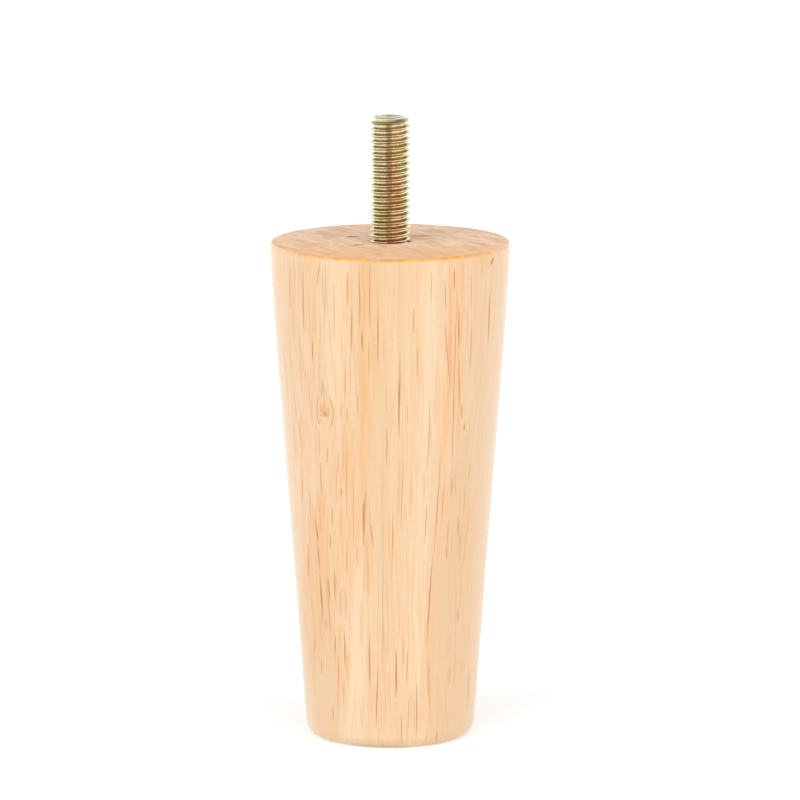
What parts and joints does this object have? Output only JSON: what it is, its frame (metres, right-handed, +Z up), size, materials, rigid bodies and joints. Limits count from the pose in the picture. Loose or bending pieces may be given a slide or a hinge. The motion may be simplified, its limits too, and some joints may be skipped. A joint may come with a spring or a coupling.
{
  "type": "tapered wooden furniture leg",
  "caption": "Round tapered wooden furniture leg with a softened foot edge and a threaded steel stud standing out of its flat top.",
  "frame": {"origin": "centre of the foot, on the floor", "axes": "+Z up along the leg's axis, out of the top face with the stud"},
  "size_m": [0.048, 0.048, 0.125],
  "materials": {
    "lacquered_wood": "clear satin lacquer over light close-grained hardwood",
    "zinc_plated_steel": "yellow zinc plating"
  },
  "bodies": {
    "root": {"wooden_leg": "lacquered_wood", "hanger_bolt": "zinc_plated_steel"}
  },
  "joints": []
}
